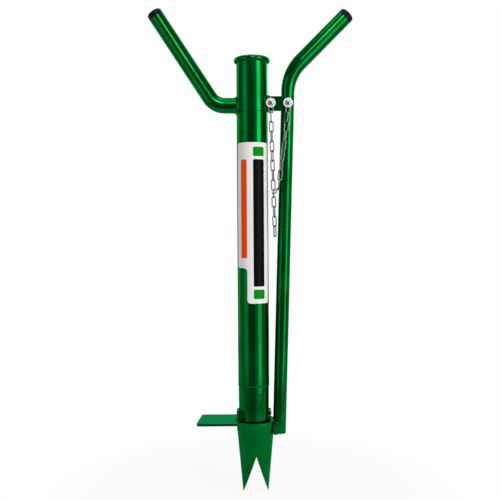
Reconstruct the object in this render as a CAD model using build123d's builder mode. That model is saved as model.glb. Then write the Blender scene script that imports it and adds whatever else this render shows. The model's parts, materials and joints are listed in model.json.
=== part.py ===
"""Hand planter: a drop tube with a hinged two-jaw beak, a foot plate and a side lever.

Millimetres, +Z up. The origin is on the drop tube's axis at the level of the beak's points.
The operator faces the -Y side, and the lever runs up the +X side of the tube.
"""

import math
import os

from build123d import *

os.makedirs("parts", exist_ok=True)

# Drop tube, in three lengths welded end to end
TUBE_OD = 63.5
TUBE_WALL = 2.0
RIM_Z = 878.0
RIM_BEAD_R = 5.6
RIM_BEAD_INSET = 0.3
HEAD_LENGTH = 106.0
SPOUT_SEAM_Z = 218.0
SEAM_CHAMFER = 0.7
SPOUT_TAPER = 2.0
SPOUT_SHOULDER_Z = 203.0
SPOUT_NECK_Z = 174.0
SPOUT_END_Z = 145.0

# Hand grips
GRIP_OD = 31.75
GRIP_WALL = 2.0
LEFT_STUB_Z = 786.6
LEFT_STUB_REACH = 43.85
LEFT_BEND_R = 37.0
LEFT_GRIP_LEAN = 33.0
LEFT_GRIP_LENGTH = 230.0
RIGHT_BEND_R = 92.0
RIGHT_GRIP_LEAN = 45.0
RIGHT_GRIP_LENGTH = 174.0
CAP_LENGTH = 13.0
CAP_EDGE_R = 5.0
CAP_STEM_LENGTH = 16.0
CAP_STEM_FIT = 0.1

# Lever, a plain tube that leans outwards towards its grip
LEVER_OD = 27.0
LEVER_WALL = 2.0
LEVER_FOOT_REACH = 20.75
LEVER_FOOT_Z = 117.0
LEVER_LEAN = 1.81
LEVER_CORNER_Z = 850.4

# Beak, a cone split into a fixed rear jaw and a swinging front jaw
BEAK_X = 3.0
BEAK_LIP_REACH = 8.65
BEAK_LIP_Z = 144.6
BEAK_POINT_R = 26.1
BEAK_WALL = 3.0
BEAK_SPLIT_GAP = 0.6
NOTCH_X = 1.2
NOTCH_Z = 77.0
NOTCH_POINT_INSET = 0.5

# Hinge across the tube, above the beak's lip
HINGE_Z = 160.0
HINGE_PIN_R = 3.5
HINGE_FIT = 0.05
HINGE_BOSS_R = 7.0
HINGE_BOSS_PROUD = 0.8
EAR_R = 7.0
EAR_THICKNESS = 2.6
EAR_GAP = 0.2
EAR_FOOT_Z = 126.0
EAR_FOOT_DEPTH = 14.0
CLIP_R = 5.6
CLIP_THICKNESS = 0.8
PIN_PROUD = 0.3

# Strap that carries the front jaw on the lever
STRAP_REACH = 9.5
STRAP_FRONT_Y = 17.0
STRAP_BACK_Y = 9.0
STRAP_BOTTOM_Z = 116.5
STRAP_CORNER_R = 5.0
LEVER_CLEARANCE = 0.8
LEVER_FOOT_ROOM = 4.0

# Foot plate
FOOT_THICKNESS = 4.8
FOOT_DEPTH = 77.0
FOOT_LENGTH = 78.0
FOOT_END_SKEW = 7.0
FOOT_CORNER_R = 6.0
FOOT_JAW_CLEARANCE = 1.2
FOOT_TOE_REACH = 3.3
FOOT_TOE_START_Y = 8.0
FOOT_TOE_END_Y = 24.0
COLLAR_RIM = 0.6

# Bracket behind the chain bolts, and the bolts themselves
BRACKET_THICKNESS = 4.76
BRACKET_BOTTOM_Z = 772.8
BRACKET_TOP_Z = 802.1
BRACKET_LEVER_GAP = 0.5
BRACKET_WASHER_GAP = 0.6
BOLT_Z = 788.4
BRACKET_BOLT_REACH = 6.05
BOLT_R = 3.0
BOLT_FIT = 0.1
BOLT_HEAD_R = 6.2
BOLT_HEAD_HEIGHT = 4.2
BOLT_END_PROUD = 1.5
WASHER_R = 9.7
WASHER_THICKNESS = 2.0
BACK_WASHER_R = 6.4
BACK_WASHER_THICKNESS = 1.6
NUT_ACROSS_FLATS = 10.0
NUT_HEIGHT = 5.0
SPACER_R = 6.0

# Chain
WIRE_D = 2.5
LINK_INNER_WIDTH = 5.0
LINK_INNER_LENGTH = 19.8
LINK_PLAY = 0.2
SHACKLE_INNER_WIDTH = 6.6
SHACKLE_DROP = 20.4
RING_INNER_D = 15.0
BRACKET_STRAND_LEAN = 1.6
BRACKET_STRAND_TWIST = 30.0
LEVER_STRAND_TWIST = 90.0
LINKS_ABOVE_RING = 8
LINKS_BELOW_RING = 4
LEVER_STRAND_LINKS = 8
HOOK_LOWER_R = 6.2
HOOK_UPPER_R = 3.5
HOOK_TAIL_ANGLE = 40.0

# Derived sizes
TUBE_R = TUBE_OD / 2
HEAD_SEAM_Z = RIM_Z - HEAD_LENGTH
BORE_R = TUBE_R - TUBE_WALL
SPOUT_END_R = (TUBE_OD - SPOUT_TAPER) / 2
GRIP_R = GRIP_OD / 2
LEVER_R = LEVER_OD / 2
LEVER_FOOT_X = SPOUT_END_R + LEVER_FOOT_REACH
BEAK_LIP_R = SPOUT_END_R + BEAK_LIP_REACH
BRACKET_BOLT_X = TUBE_R + BRACKET_BOLT_REACH
FOOT_INNER_X = BEAK_LIP_R + FOOT_JAW_CLEARANCE - BEAK_X
WIRE_R = WIRE_D / 2
FOOT_BOTTOM_Z = SPOUT_END_Z - FOOT_THICKNESS
BRACKET_BACK_Y = LEVER_R + BRACKET_LEVER_GAP
BRACKET_FRONT_Y = BRACKET_BACK_Y + BRACKET_THICKNESS
SHACKLE_Y = BRACKET_FRONT_Y + LINK_PLAY + WIRE_R
WASHER_BACK_Y = SHACKLE_Y + WIRE_R + LINK_PLAY
HEAD_BACK_Y = WASHER_BACK_Y + WASHER_THICKNESS


def along(lean):
    """Direction in the XZ plane that leans from +Z towards +X by an angle in degrees."""
    return Vector(math.sin(math.radians(lean)), 0, math.cos(math.radians(lean)))


def lever_x(z):
    """The lever axis's X at a height."""
    return LEVER_FOOT_X + (z - LEVER_FOOT_Z) * math.tan(math.radians(LEVER_LEAN))


def front_plane(depth):
    """Plane at a depth in front of the tube's axis, facing the operator, with X and Z as its axes."""
    return Plane.XZ.offset(depth)


def cone_r(z):
    """Outer radius of the beak at a height."""
    return BEAK_POINT_R + (BEAK_LIP_R - BEAK_POINT_R) * z / BEAK_LIP_Z


LEVER_FOOT = Vector(LEVER_FOOT_X, 0, LEVER_FOOT_Z)
LEVER_PLANE = Plane(origin=LEVER_FOOT, x_dir=(0, 1, 0), z_dir=along(LEVER_LEAN))
LEVER_CORNER = Vector(lever_x(LEVER_CORNER_Z), 0, LEVER_CORNER_Z)
RIGHT_TURN = math.radians(RIGHT_GRIP_LEAN - LEVER_LEAN)
RIGHT_TANGENT = RIGHT_BEND_R * math.tan(RIGHT_TURN / 2)
LEVER_TOP = LEVER_CORNER - along(LEVER_LEAN) * RIGHT_TANGENT
RIGHT_BEND_END = LEVER_CORNER + along(RIGHT_GRIP_LEAN) * RIGHT_TANGENT
RIGHT_GRIP_END = LEVER_CORNER + along(RIGHT_GRIP_LEAN) * (RIGHT_GRIP_LENGTH - CAP_LENGTH)
LEVER_LENGTH = (LEVER_TOP - LEVER_FOOT).length
LEFT_CORNER = Vector(-TUBE_R - LEFT_STUB_REACH, 0, LEFT_STUB_Z)
LEFT_GRIP_END = LEFT_CORNER + along(-LEFT_GRIP_LEAN) * (LEFT_GRIP_LENGTH - CAP_LENGTH)
LEVER_BOLT_X = lever_x(BOLT_Z)


# Drop tube

with BuildPart() as tube_head:
    with BuildSketch(Plane.XY.offset(HEAD_SEAM_Z)):
        Circle(TUBE_R)
    extrude(amount=RIM_Z - HEAD_SEAM_Z)
    chamfer(tube_head.edges().sort_by(Axis.Z)[0], SEAM_CHAMFER)
    with BuildSketch(Plane.XZ):
        with Locations((TUBE_R - RIM_BEAD_INSET, RIM_Z)):
            Circle(RIM_BEAD_R)
    revolve(axis=Axis.Z)
    with BuildSketch(Plane.XY.offset(HEAD_SEAM_Z)):
        Circle(BORE_R)
    extrude(amount=RIM_Z + RIM_BEAD_R - HEAD_SEAM_Z, mode=Mode.SUBTRACT)

with BuildPart() as tube_body:
    with BuildSketch(Plane.XY.offset(SPOUT_SEAM_Z)):
        Circle(TUBE_R)
    extrude(amount=HEAD_SEAM_Z - SPOUT_SEAM_Z)
    chamfer(tube_body.edges().filter_by(GeomType.CIRCLE), SEAM_CHAMFER)
    with BuildSketch(Plane.XY.offset(SPOUT_SEAM_Z)):
        Circle(BORE_R)
    extrude(amount=HEAD_SEAM_Z - SPOUT_SEAM_Z, mode=Mode.SUBTRACT)

with BuildPart() as tube_spout:
    with BuildSketch(Plane.XZ):
        with BuildLine():
            Polyline(
                (BORE_R, SPOUT_SEAM_Z),
                (TUBE_R - SEAM_CHAMFER, SPOUT_SEAM_Z),
                (TUBE_R - SEAM_CHAMFER, SPOUT_SHOULDER_Z),
                (SPOUT_END_R, SPOUT_NECK_Z),
                (SPOUT_END_R, SPOUT_END_Z),
                (SPOUT_END_R - TUBE_WALL, SPOUT_END_Z),
                (SPOUT_END_R - TUBE_WALL, SPOUT_NECK_Z),
                (BORE_R, SPOUT_SHOULDER_Z),
                close=True,
            )
        make_face()
    revolve(axis=Axis.Z)


# Left grip, welded to the tube

with BuildPart() as left_handle:
    with BuildLine(Plane.XZ) as left_run:
        FilletPolyline(
            (-BORE_R, LEFT_STUB_Z),
            (LEFT_CORNER.X, LEFT_CORNER.Z),
            (LEFT_GRIP_END.X, LEFT_GRIP_END.Z),
            radius=LEFT_BEND_R,
        )
    with BuildSketch(Plane(origin=left_run.line @ 0, z_dir=left_run.line % 0)):
        Circle(GRIP_R)
        Circle(GRIP_R - GRIP_WALL, mode=Mode.SUBTRACT)
    sweep()
    with BuildSketch(Plane.XY.offset(LEFT_STUB_Z - GRIP_OD)):
        Circle(TUBE_R)
    extrude(amount=2 * GRIP_OD, mode=Mode.SUBTRACT)


def grip_cap(end, lean):
    """Domed plug whose head is flush with the grip and whose stem fills its mouth."""
    with BuildPart(Plane(origin=end, x_dir=(0, 1, 0), z_dir=along(lean))) as cap:
        Cylinder(GRIP_R, CAP_LENGTH, align=(Align.CENTER, Align.CENTER, Align.MIN))
        fillet(cap.edges().sort_by(lambda e: (e.center() - end).dot(along(lean)))[-1], CAP_EDGE_R)
        Cylinder(
            GRIP_R - GRIP_WALL - CAP_STEM_FIT,
            CAP_STEM_LENGTH,
            align=(Align.CENTER, Align.CENTER, Align.MAX),
        )
    return cap


left_handle_cap = grip_cap(LEFT_GRIP_END, -LEFT_GRIP_LEAN)


# Lever and right grip

with BuildPart(LEVER_PLANE) as lever_tube:
    Cylinder(LEVER_R, LEVER_LENGTH, align=(Align.CENTER, Align.CENTER, Align.MIN))
    Cylinder(
        LEVER_R - LEVER_WALL,
        LEVER_LENGTH,
        align=(Align.CENTER, Align.CENTER, Align.MIN),
        mode=Mode.SUBTRACT,
    )
    with BuildSketch(front_plane(-LEVER_OD)):
        with Locations((LEVER_BOLT_X, BOLT_Z)):
            Circle(BOLT_R + BOLT_FIT)
    extrude(amount=2 * LEVER_OD, mode=Mode.SUBTRACT)

with BuildPart() as right_handle:
    with BuildLine(Plane.XZ) as right_bend:
        TangentArc(
            (LEVER_TOP.X, LEVER_TOP.Z),
            (RIGHT_BEND_END.X, RIGHT_BEND_END.Z),
            tangent=(along(LEVER_LEAN).X, along(LEVER_LEAN).Z),
        )
    for wall, mode in ((0, Mode.ADD), (LEVER_WALL, Mode.SUBTRACT)):
        with BuildSketch(Plane(origin=LEVER_TOP, x_dir=(0, 1, 0), z_dir=along(LEVER_LEAN))) as lower_end:
            Circle(LEVER_R - wall)
        with BuildSketch(Plane(origin=RIGHT_BEND_END, x_dir=(0, 1, 0), z_dir=along(RIGHT_GRIP_LEAN))) as upper_end:
            Circle(GRIP_R - wall)
        sweep([lower_end.sketch, upper_end.sketch], path=right_bend.line, multisection=True, mode=mode)
        extrude(upper_end.sketch, amount=(RIGHT_GRIP_END - RIGHT_BEND_END).length, mode=mode)

right_handle_cap = grip_cap(RIGHT_GRIP_END, RIGHT_GRIP_LEAN)


# Beak

def beak_shell(top_z):
    """Whole cone of the beak up to a height, with the notch that leaves its two points."""
    with BuildPart() as shell:
        with BuildSketch(Plane((BEAK_X, 0, 0))):
            Circle(cone_r(0))
        with BuildSketch(Plane((BEAK_X, 0, top_z))):
            Circle(cone_r(top_z))
        loft(ruled=True)
        with BuildSketch(Plane((BEAK_X, 0, 0))):
            Circle(cone_r(0) - BEAK_WALL)
        with BuildSketch(Plane((BEAK_X, 0, top_z))):
            Circle(cone_r(top_z) - BEAK_WALL)
        loft(ruled=True, mode=Mode.SUBTRACT)
        with BuildSketch(front_plane(-BEAK_LIP_R)):
            with BuildLine():
                Polyline(
                    (BEAK_X - BEAK_POINT_R + NOTCH_POINT_INSET, 0),
                    (BEAK_X + NOTCH_X, NOTCH_Z),
                    (BEAK_X + BEAK_POINT_R - NOTCH_POINT_INSET, 0),
                    close=True,
                )
            make_face()
        extrude(amount=2 * BEAK_LIP_R, mode=Mode.SUBTRACT)
    return shell.part


def lever_room(clearance, below):
    """Solid cylinder along the lever's foot, for what is shaped or kept clear round it."""
    with BuildPart(LEVER_PLANE.offset(-below)) as room:
        Cylinder(
            LEVER_R + clearance,
            2 * (HINGE_Z - LEVER_FOOT_Z),
            align=(Align.CENTER, Align.CENTER, Align.MIN),
        )
    return room.part


EAR_INNER_X = SPOUT_END_R + HINGE_BOSS_PROUD + EAR_GAP
EAR_OUTER_X = EAR_INNER_X + EAR_THICKNESS


def ear_outline(side):
    """Side view of a hinge ear: a round eye with a foot that runs down into the jaw."""
    with BuildSketch(Plane.YZ.offset(side * EAR_INNER_X)) as outline:
        with BuildLine():
            Polyline(
                (-EAR_R, HINGE_Z),
                (-EAR_FOOT_DEPTH, EAR_FOOT_Z),
                (-BEAK_SPLIT_GAP / 2, EAR_FOOT_Z),
                (-BEAK_SPLIT_GAP / 2, HINGE_Z),
                close=True,
            )
        make_face()
        with Locations((0, HINGE_Z)):
            Circle(EAR_R)
    return outline.sketch


with BuildPart() as front_jaw:
    add(beak_shell(BEAK_LIP_Z))
    split(bisect_by=Plane.XZ.offset(BEAK_SPLIT_GAP / 2), keep=Keep.TOP)
    with BuildSketch(front_plane(STRAP_BACK_Y)):
        with BuildLine():
            Polyline(
                (BEAK_X + BEAK_LIP_R - BEAK_WALL, BEAK_LIP_Z),
                (LEVER_FOOT_X - LEVER_R + STRAP_REACH, BEAK_LIP_Z),
                (LEVER_FOOT_X - LEVER_R + STRAP_REACH, STRAP_BOTTOM_Z),
                (BEAK_X + BEAK_LIP_R - BEAK_WALL, STRAP_BOTTOM_Z),
                close=True,
            )
        strap = make_face()
        fillet(strap.vertices().group_by(Axis.X)[-1].sort_by(Axis.Z)[0], STRAP_CORNER_R)
    extrude(amount=STRAP_FRONT_Y - STRAP_BACK_Y)
    for side in (-1, 1):
        extrude(ear_outline(side), amount=side * EAR_THICKNESS)
    with BuildSketch(Plane.YZ.offset(EAR_OUTER_X)):
        with Locations((-EAR_FOOT_DEPTH / 2, (EAR_FOOT_Z + BEAK_LIP_Z) / 2)):
            Rectangle(EAR_FOOT_DEPTH - BEAK_SPLIT_GAP, BEAK_LIP_Z - EAR_FOOT_Z)
    extrude(amount=BEAK_X + BEAK_LIP_R - BEAK_WALL - EAR_OUTER_X + BEAK_WALL / 2)
    with BuildSketch(Plane.YZ.offset(-BEAK_LIP_R)):
        with Locations((0, HINGE_Z)):
            Circle(HINGE_PIN_R + HINGE_FIT)
    extrude(amount=2 * BEAK_LIP_R, mode=Mode.SUBTRACT)
    add(lever_room(0, 0), mode=Mode.SUBTRACT)

with BuildPart() as rear_jaw:
    add(beak_shell(FOOT_BOTTOM_Z))
    split(bisect_by=Plane.XZ.offset(-BEAK_SPLIT_GAP / 2), keep=Keep.BOTTOM)
    add(lever_room(LEVER_CLEARANCE, LEVER_FOOT_ROOM), mode=Mode.SUBTRACT)


# Foot plate, and the half collar that ties it and the rear jaw to the spout

with BuildPart() as foot_plate:
    with BuildSketch(Plane.XY.offset(FOOT_BOTTOM_Z)):
        with BuildLine():
            Polyline(
                (-FOOT_INNER_X - FOOT_LENGTH, -FOOT_DEPTH / 2),
                (-FOOT_INNER_X - FOOT_LENGTH + FOOT_END_SKEW, FOOT_DEPTH / 2),
                (-FOOT_INNER_X, FOOT_DEPTH / 2),
                (-FOOT_INNER_X, -FOOT_TOE_START_Y),
                (-FOOT_INNER_X + FOOT_TOE_REACH, -FOOT_TOE_END_Y),
                (-FOOT_INNER_X + FOOT_TOE_REACH, -FOOT_DEPTH / 2),
                close=True,
            )
        outline = make_face()
        fillet(outline.vertices().sort_by(Axis.X)[:2], FOOT_CORNER_R)
    extrude(amount=FOOT_THICKNESS)

with BuildPart() as rear_collar:
    with BuildSketch(Plane.XY.offset(FOOT_BOTTOM_Z)):
        with Locations((BEAK_X, 0)):
            Circle(BEAK_LIP_R + COLLAR_RIM)
        with Locations((-FOOT_INNER_X, 0)):
            Rectangle(FOOT_INNER_X, FOOT_DEPTH / 2, align=(Align.MIN, Align.MIN))
        Circle(SPOUT_END_R - TUBE_WALL, mode=Mode.SUBTRACT)
        with Locations((0, BEAK_SPLIT_GAP / 2)):
            Rectangle(4 * BEAK_LIP_R, 2 * BEAK_LIP_R, align=(Align.CENTER, Align.MAX), mode=Mode.SUBTRACT)
        with Locations((-FOOT_INNER_X, 0)):
            Rectangle(2 * BEAK_LIP_R, 4 * BEAK_LIP_R, align=(Align.MAX, Align.CENTER), mode=Mode.SUBTRACT)
    extrude(amount=FOOT_THICKNESS)
    add(lever_room(LEVER_CLEARANCE, LEVER_FOOT_ROOM), mode=Mode.SUBTRACT)


# Hinge pins, welded to the spout, and the clips that hold the ears on them

def hinge_pin(side):
    """Stud with a boss that is shaped to the spout's wall."""
    reach = EAR_OUTER_X + EAR_GAP + CLIP_THICKNESS + PIN_PROUD
    with BuildPart() as pin:
        with BuildSketch(Plane.YZ):
            with Locations((0, HINGE_Z)):
                Circle(HINGE_BOSS_R)
        extrude(amount=side * (SPOUT_END_R + HINGE_BOSS_PROUD))
        with BuildSketch(Plane.YZ):
            with Locations((0, HINGE_Z)):
                Circle(HINGE_PIN_R)
        extrude(amount=side * reach)
        with BuildSketch(Plane.XY.offset(HINGE_Z - 2 * HINGE_BOSS_R)):
            Circle(SPOUT_END_R)
        extrude(amount=4 * HINGE_BOSS_R, mode=Mode.SUBTRACT)
    return pin


def hinge_clip(side):
    """Retaining washer outside an ear."""
    with BuildPart() as clip:
        with BuildSketch(Plane.YZ.offset(side * (EAR_OUTER_X + EAR_GAP))):
            with Locations((0, HINGE_Z)):
                Circle(CLIP_R)
                Circle(HINGE_PIN_R, mode=Mode.SUBTRACT)
        extrude(amount=side * CLIP_THICKNESS)
    return clip


hinge_pin_left = hinge_pin(-1)
hinge_pin_right = hinge_pin(1)
hinge_clip_left = hinge_clip(-1)
hinge_clip_right = hinge_clip(1)


# Bracket and bolts

with BuildPart() as bracket:
    with BuildSketch(front_plane(BRACKET_BACK_Y)):
        with BuildLine():
            Polyline(
                (0, BRACKET_BOTTOM_Z),
                (LEVER_BOLT_X - WASHER_R - BRACKET_WASHER_GAP, BRACKET_BOTTOM_Z),
                (LEVER_BOLT_X - WASHER_R - BRACKET_WASHER_GAP, BRACKET_TOP_Z),
                (0, BRACKET_TOP_Z),
                close=True,
            )
        make_face()
        with Locations((BRACKET_BOLT_X, BOLT_Z)):
            Circle(BOLT_R + BOLT_FIT, mode=Mode.SUBTRACT)
    extrude(amount=BRACKET_THICKNESS)
    with BuildSketch(Plane.XY.offset(BRACKET_BOTTOM_Z)):
        Circle(TUBE_R)
    extrude(amount=BRACKET_TOP_Z - BRACKET_BOTTOM_Z, mode=Mode.SUBTRACT)


def bolt(x, nut_back_y):
    """Round-headed bolt that points backwards, from its head down to just past its nut."""
    with BuildPart() as screw:
        with BuildSketch(front_plane(HEAD_BACK_Y)):
            with Locations((x, BOLT_Z)):
                Circle(BOLT_HEAD_R)
        extrude(amount=BOLT_HEAD_HEIGHT)
        fillet(screw.edges().sort_by(Axis.Y)[0], BOLT_HEAD_HEIGHT * 0.9)
        with BuildSketch(front_plane(HEAD_BACK_Y)):
            with Locations((x, BOLT_Z)):
                Circle(BOLT_R)
        extrude(amount=-(HEAD_BACK_Y + nut_back_y + BOLT_END_PROUD))
    return screw


def washer(x, outer_r, front_y, thickness):
    """Flat washer whose back face is at a depth in front of the axis."""
    with BuildPart() as ring:
        with BuildSketch(front_plane(front_y)):
            with Locations((x, BOLT_Z)):
                Circle(outer_r)
                Circle(BOLT_R + BOLT_FIT, mode=Mode.SUBTRACT)
        extrude(amount=thickness)
    return ring


def nut(x, front_y):
    """Hexagon nut behind a back washer, with its front face at a depth behind the axis."""
    with BuildPart() as hexagon:
        with BuildSketch(front_plane(-front_y)):
            with Locations((x, BOLT_Z)):
                RegularPolygon(NUT_ACROSS_FLATS / 2, 6, major_radius=False)
                Circle(BOLT_R + BOLT_FIT, mode=Mode.SUBTRACT)
        extrude(amount=-NUT_HEIGHT)
    return hexagon


LEVER_WASHER_Y = LEVER_R + LINK_PLAY
bracket_washer = washer(BRACKET_BOLT_X, WASHER_R, WASHER_BACK_Y, WASHER_THICKNESS)
bracket_back_washer = washer(
    BRACKET_BOLT_X, BACK_WASHER_R, BRACKET_BACK_Y - BACK_WASHER_THICKNESS, BACK_WASHER_THICKNESS
)
bracket_nut = nut(BRACKET_BOLT_X, BACK_WASHER_THICKNESS - BRACKET_BACK_Y)
bracket_bolt = bolt(BRACKET_BOLT_X, BACK_WASHER_THICKNESS - BRACKET_BACK_Y + NUT_HEIGHT)
lever_washer = washer(LEVER_BOLT_X, WASHER_R, WASHER_BACK_Y, WASHER_THICKNESS)
lever_back_washer = washer(
    LEVER_BOLT_X, BACK_WASHER_R, -LEVER_WASHER_Y - BACK_WASHER_THICKNESS, BACK_WASHER_THICKNESS
)
lever_nut = nut(LEVER_BOLT_X, LEVER_WASHER_Y + BACK_WASHER_THICKNESS)
lever_bolt = bolt(LEVER_BOLT_X, LEVER_WASHER_Y + BACK_WASHER_THICKNESS + NUT_HEIGHT)

with BuildPart() as lever_spacer:
    with BuildSketch(front_plane(0)):
        with Locations((LEVER_BOLT_X, BOLT_Z)):
            Circle(SPACER_R)
            Circle(BOLT_R + BOLT_FIT, mode=Mode.SUBTRACT)
    extrude(amount=BRACKET_FRONT_Y)
    with BuildSketch(LEVER_PLANE):
        Circle(LEVER_R)
    extrude(amount=LEVER_LENGTH, mode=Mode.SUBTRACT)


# Chain

LINK_R = (LINK_INNER_WIDTH + WIRE_D) / 2
LINK_REACH = (LINK_INNER_LENGTH + WIRE_D) / 2
LINK_STEP = WIRE_D + LINK_PLAY
RING_R = (RING_INNER_D + WIRE_D) / 2
SHACKLE_R = (SHACKLE_INNER_WIDTH + WIRE_D) / 2
CHAIN_TOP_Z = BOLT_Z - SHACKLE_DROP
BRACKET_STRAND_TOP = Vector(BRACKET_BOLT_X, -SHACKLE_Y, CHAIN_TOP_Z)
LEVER_STRAND_TOP = Vector(LEVER_BOLT_X, -SHACKLE_Y, CHAIN_TOP_Z)


def oval(plane, bow_r, reach):
    """Closed link of round wire: two bows of a radius whose wire centres lie a reach from the middle."""
    side = reach - bow_r
    with BuildPart() as link:
        with BuildLine(plane) as ring:
            if side > 0:
                Line((bow_r, -side), (bow_r, side))
                Line((-bow_r, side), (-bow_r, -side))
            CenterArc((0, side), bow_r, 0, 180)
            CenterArc((0, -side), bow_r, 180, 180)
        with BuildSketch(Plane(origin=plane.from_local_coords((bow_r, 0, 0)), z_dir=plane.y_dir)):
            Circle(WIRE_R)
        sweep(path=ring.wires()[0])
    return link.part


def strand_plane(top, lean, drop, turn):
    """Plane of a link whose middle lies a drop below a strand's top, turned from edge on by an angle."""
    down = along(lean) * -1
    across = Vector(0, math.cos(math.radians(turn)), 0)
    across += Vector(-down.Z, 0, down.X) * math.sin(math.radians(turn))
    return Plane(origin=top + down * drop, x_dir=across, z_dir=across.cross(down * -1))


def shackle(x):
    """Wide end link that hangs on a bolt's shank, clear of it all round."""
    middle = Vector(x, -SHACKLE_Y, BOLT_Z - (SHACKLE_DROP - SHACKLE_R) / 2)
    with BuildPart() as link:
        add(oval(Plane(middle, x_dir=(1, 0, 0), z_dir=(0, -1, 0)), SHACKLE_R, (SHACKLE_DROP + SHACKLE_R) / 2))
    return link


bracket_shackle = shackle(BRACKET_BOLT_X)
lever_shackle = shackle(LEVER_BOLT_X)

with BuildPart() as bracket_chain:
    bow = LINK_STEP
    for number in range(LINKS_ABOVE_RING + 1 + LINKS_BELOW_RING):
        is_ring = number == LINKS_ABOVE_RING
        bow_r, reach = (RING_R, RING_R) if is_ring else (LINK_R, LINK_REACH)
        turn = 90 * number + BRACKET_STRAND_TWIST * math.sin(math.pi * number / LINKS_ABOVE_RING)
        add(oval(strand_plane(BRACKET_STRAND_TOP, -BRACKET_STRAND_LEAN, reach - bow, turn), bow_r, reach))
        if is_ring:
            ring_drop = reach - bow
        bow = bow - 2 * reach + LINK_STEP

HOOK_EYE = BRACKET_STRAND_TOP - along(-BRACKET_STRAND_LEAN) * ring_drop
HOOK_TOP_X = HOOK_EYE.X + HOOK_LOWER_R + HOOK_UPPER_R
LEVER_STRAND_DROP = LEVER_STRAND_LINKS * (2 * LINK_REACH - LINK_STEP) - LINK_STEP
LEVER_STRAND_LEAN = math.degrees(math.asin((LEVER_STRAND_TOP.X - HOOK_TOP_X) / LEVER_STRAND_DROP))
HOOK_TOP_Z = CHAIN_TOP_Z - LEVER_STRAND_DROP * math.cos(math.radians(LEVER_STRAND_LEAN))

with BuildPart() as chain_hook:
    with BuildLine(front_plane(SHACKLE_Y)) as hook_wire:
        shank_x = HOOK_EYE.X + HOOK_LOWER_R
        lower_z = HOOK_EYE.Z + HOOK_LOWER_R
        upper_z = HOOK_TOP_Z - HOOK_UPPER_R
        CenterArc((HOOK_EYE.X, lower_z), HOOK_LOWER_R, 270 - HOOK_TAIL_ANGLE, 90 + HOOK_TAIL_ANGLE)
        Line((shank_x, lower_z), (shank_x, upper_z))
        CenterArc((HOOK_TOP_X, upper_z), HOOK_UPPER_R, 180, -90 - HOOK_TAIL_ANGLE)
    with BuildSketch(Plane(origin=hook_wire.wires()[0] @ 0, z_dir=hook_wire.wires()[0] % 0)):
        Circle(WIRE_R)
    sweep(path=hook_wire.wires()[0])

with BuildPart() as lever_chain:
    for number in range(LEVER_STRAND_LINKS):
        drop = LINK_REACH - LINK_STEP + number * (2 * LINK_REACH - LINK_STEP)
        turn = (90 + LEVER_STRAND_TWIST / (LEVER_STRAND_LINKS - 1)) * number
        add(oval(strand_plane(LEVER_STRAND_TOP, LEVER_STRAND_LEAN, drop, turn), LINK_R, LINK_REACH))


PIECES = {
    "tube_head": tube_head,
    "tube_body": tube_body,
    "tube_spout": tube_spout,
    "left_handle": left_handle,
    "left_handle_cap": left_handle_cap,
    "lever_tube": lever_tube,
    "right_handle": right_handle,
    "right_handle_cap": right_handle_cap,
    "front_jaw": front_jaw,
    "rear_jaw": rear_jaw,
    "foot_plate": foot_plate,
    "rear_collar": rear_collar,
    "hinge_pin_left": hinge_pin_left,
    "hinge_pin_right": hinge_pin_right,
    "hinge_clip_left": hinge_clip_left,
    "hinge_clip_right": hinge_clip_right,
    "bracket": bracket,
    "bracket_bolt": bracket_bolt,
    "bracket_washer": bracket_washer,
    "bracket_back_washer": bracket_back_washer,
    "bracket_nut": bracket_nut,
    "bracket_shackle": bracket_shackle,
    "bracket_chain": bracket_chain,
    "lever_bolt": lever_bolt,
    "lever_washer": lever_washer,
    "lever_back_washer": lever_back_washer,
    "lever_nut": lever_nut,
    "lever_spacer": lever_spacer,
    "lever_shackle": lever_shackle,
    "lever_chain": lever_chain,
    "chain_hook": chain_hook,
}

for name, piece in PIECES.items():
    piece.part.label = name
    export_step(piece.part, f"parts/{name}.step")
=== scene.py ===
"""Looks of the hand planter: paint, plated hardware, welds, label and studio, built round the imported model.

Laid out as an add-on. Run as a script, it registers its classes and calls every operator in turn.
Metres, in the planter's own frame: +Z up, +X towards the lever, -Y towards the viewer.
"""

import json
import math

import bmesh
import bpy
from bpy.props import FloatProperty, FloatVectorProperty, IntProperty, PointerProperty
from mathutils import Matrix, Vector, noise


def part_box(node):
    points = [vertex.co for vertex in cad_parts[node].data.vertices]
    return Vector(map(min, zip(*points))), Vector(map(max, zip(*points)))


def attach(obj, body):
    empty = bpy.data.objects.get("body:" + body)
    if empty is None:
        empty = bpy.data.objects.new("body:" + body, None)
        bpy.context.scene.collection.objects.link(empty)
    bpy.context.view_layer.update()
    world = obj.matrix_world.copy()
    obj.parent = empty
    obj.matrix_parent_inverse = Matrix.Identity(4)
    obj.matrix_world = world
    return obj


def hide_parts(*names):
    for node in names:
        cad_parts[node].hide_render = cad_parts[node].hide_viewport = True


bl_info = {
    "name": "Hand Planter",
    "version": (1, 0, 0),
    "blender": (4, 5, 0),
    "location": "View3D > Sidebar > Planter",
    "description": "Dresses the packed hand planter and sets up its studio",
    "category": "Object",
}

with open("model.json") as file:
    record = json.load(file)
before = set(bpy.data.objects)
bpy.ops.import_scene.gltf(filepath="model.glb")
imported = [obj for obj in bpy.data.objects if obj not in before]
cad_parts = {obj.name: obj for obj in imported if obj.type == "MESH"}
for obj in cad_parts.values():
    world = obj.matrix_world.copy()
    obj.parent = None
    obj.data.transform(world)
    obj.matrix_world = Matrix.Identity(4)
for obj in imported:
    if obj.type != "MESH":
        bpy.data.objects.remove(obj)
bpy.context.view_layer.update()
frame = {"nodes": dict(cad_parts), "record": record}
SLOT_OF = {row["node"]: row["material_slot"] for row in frame["record"]["subparts"]}

MM = 0.001
FULL_TURN = 2 * math.pi
CREASE = math.radians(40)
MERGE_WITHIN = 0.001 * MM
SPOUT_STEP = 1.0 * MM


def node_size(name):
    """Width, depth and height of a node at rest."""
    low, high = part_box(name)
    return high - low


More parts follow.
